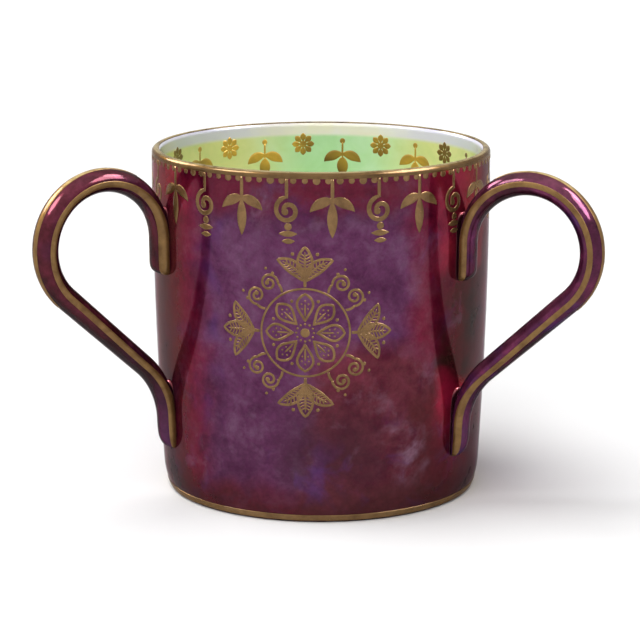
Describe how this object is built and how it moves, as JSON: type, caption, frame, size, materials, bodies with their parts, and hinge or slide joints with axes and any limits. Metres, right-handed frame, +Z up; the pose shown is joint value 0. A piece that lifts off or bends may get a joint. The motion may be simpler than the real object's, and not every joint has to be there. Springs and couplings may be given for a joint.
{
  "type": "loving cup",
  "caption": "Straight-sided loving cup in mottled lustre-glazed bone china, with looped strap handles luted round the wall and gilt lip, foot and handle lines.",
  "frame": {"origin": "on the cup's axis, in the plane that the foot ring stands on", "axes": "+Z up along the cup's axis; -Y through the front panel between the left and right handles; the back handle lies over +Y"},
  "size_m": [0.0806, 0.0732, 0.0513],
  "materials": {
    "body_glaze": "glossy mottled purple and crimson lustre glaze outside, pale green lustre inside",
    "handle_glaze": "glossy purple and crimson lustre glaze",
    "slip": "glazed over with the body",
    "gilding": "satin fired gold"
  },
  "bodies": {
    "root": {"cup_body": "body_glaze", "handle_left": "handle_glaze", "handle_right": "handle_glaze", "handle_back": "handle_glaze", "slip_upper_left": "slip", "slip_upper_right": "slip", "slip_upper_back": "slip", "slip_lower_left": "slip", "slip_lower_right": "slip", "slip_lower_back": "slip", "gilt_rim_band": "gilding", "gilt_foot_band": "gilding", "gilt_lines_left": "gilding", "gilt_lines_right": "gilding", "gilt_lines_back": "gilding"}
  },
  "joints": []
}
